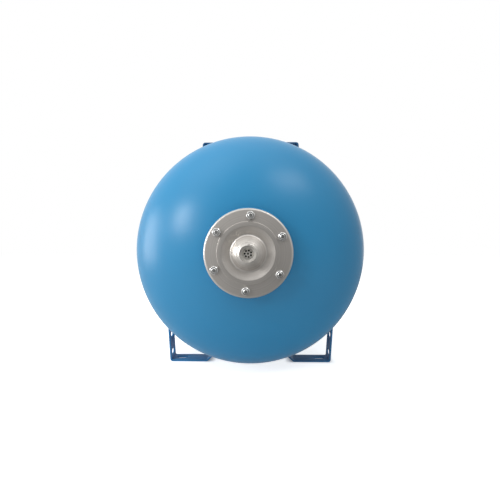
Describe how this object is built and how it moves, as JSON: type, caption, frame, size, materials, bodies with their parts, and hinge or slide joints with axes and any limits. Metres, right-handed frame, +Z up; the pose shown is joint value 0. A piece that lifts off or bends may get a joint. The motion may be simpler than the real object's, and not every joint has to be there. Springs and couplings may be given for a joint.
{
  "type": "pressure tank",
  "caption": "Horizontal membrane pressure tank: painted steel vessel with domed ends, bolted cover flange with a water nipple, strip feet and a pump bracket.",
  "frame": {"origin": "centre of the footprint, at the level of the soles of the feet", "axes": "+Z up, +Y along the vessel from the cover flange to the air valve, +X to the right seen from the cover flange"},
  "size_m": [0.453, 0.665, 0.48],
  "materials": {
    "vessel_paint": "satin blue stoving paint on sheet steel",
    "foot_paint": "satin dark blue paint on bent strip",
    "bracket_paint": "satin dark blue paint on bent strip",
    "boss_paint": "satin blue paint on a turned boss",
    "flange_steel": "bright galvanised sheet with turned marks",
    "nipple_steel": "turned steel",
    "strainer_steel": "perforated stainless sheet",
    "stud_zinc": "zinc-plated steel",
    "nut_zinc": "zinc-plated steel",
    "membrane_rubber": "matt black rubber",
    "gasket_rubber": "matt black rubber",
    "valve_brass": "turned brass",
    "core_brass": "turned brass",
    "pin_steel": "bright drawn wire",
    "spring_steel": "spring wire",
    "dust_cap_plastic": "matt black moulding",
    "guard_cap_plastic": "matt black moulding"
  },
  "bodies": {
    "tank": {"barrel": "vessel_paint", "front_head": "vessel_paint", "rear_head": "vessel_paint", "neck_ring": "vessel_paint", "membrane": "membrane_rubber", "flange_cover": "flange_steel", "water_nipple": "nipple_steel", "nipple_strainer": "strainer_steel", "cover_studs": "stud_zinc", "cover_nuts": "nut_zinc", "foot_front_left": "foot_paint", "foot_front_right": "foot_paint", "foot_rear_left": "foot_paint", "foot_rear_right": "foot_paint", "pump_bracket_front": "bracket_paint", "pump_bracket_rear": "bracket_paint", "valve_boss": "boss_paint", "valve_gasket": "gasket_rubber", "valve_stem": "valve_brass", "valve_core": "core_brass", "valve_spring": "spring_steel"},
    "pin": {"valve_pin": "pin_steel"},
    "dust_cap": {"valve_dust_cap": "dust_cap_plastic"},
    "guard_cap": {"valve_guard_cap": "guard_cap_plastic"}
  },
  "joints": [
    {"name": "guard_cap_off", "type": "slide", "parent": "tank", "child": "guard_cap", "axis": [0, 1, 0], "range_m": [0, 0.06]},
    {"name": "dust_cap_off", "type": "slide", "parent": "tank", "child": "dust_cap", "axis": [0, 1, 0], "range_m": [0, 0.024]},
    {"name": "valve_pin_press", "type": "slide", "parent": "tank", "child": "pin", "axis": [0, -1, 0], "range_m": [0, 0.0013], "stiffness_N_per_m": 400, "springref_m": -0.003, "deforming": ["valve_spring"]}
  ],
  "couplings": [
    {"joint": "dust_cap_off", "follows": "guard_cap_off", "ratio": 0.4}
  ]
}
